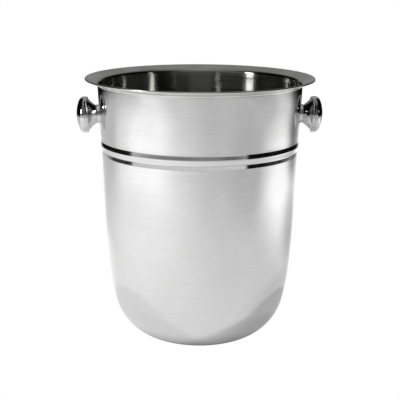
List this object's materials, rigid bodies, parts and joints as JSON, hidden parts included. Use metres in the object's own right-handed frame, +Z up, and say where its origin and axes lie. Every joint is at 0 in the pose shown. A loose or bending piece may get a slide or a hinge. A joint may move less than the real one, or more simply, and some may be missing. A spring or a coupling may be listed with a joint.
{
  "type": "champagne bucket",
  "caption": "Tall round-bottomed polished steel ice bucket for a wine or champagne bottle, with a flared rim, a raised bead and mushroom knob handles screwed to its sides.",
  "frame": {"origin": "centre of the base, on the surface the bucket stands on", "axes": "+Z up along the bucket's axis; +X through the right knob, -X through the left knob"},
  "size_m": [0.2258, 0.21, 0.245],
  "materials": {
    "polished_steel": "mirror-polished stainless steel outside, finely spun inside",
    "chrome_knob": "bright polished, fine circular polishing lines",
    "insert_brass": "turned, plain",
    "seal_rubber": "matt black",
    "fixing_steel": "plain stainless steel, lightly brushed"
  },
  "bodies": {
    "root": {"bucket_shell": "polished_steel", "knob_cap_right": "chrome_knob", "knob_back_right": "chrome_knob", "knob_insert_right": "insert_brass", "collar_right": "chrome_knob", "sealing_washer_right": "seal_rubber", "steel_washer_right": "fixing_steel", "knob_screw_right": "fixing_steel", "knob_cap_left": "chrome_knob", "knob_back_left": "chrome_knob", "knob_insert_left": "insert_brass", "collar_left": "chrome_knob", "sealing_washer_left": "seal_rubber", "steel_washer_left": "fixing_steel", "knob_screw_left": "fixing_steel"}
  },
  "joints": []
}
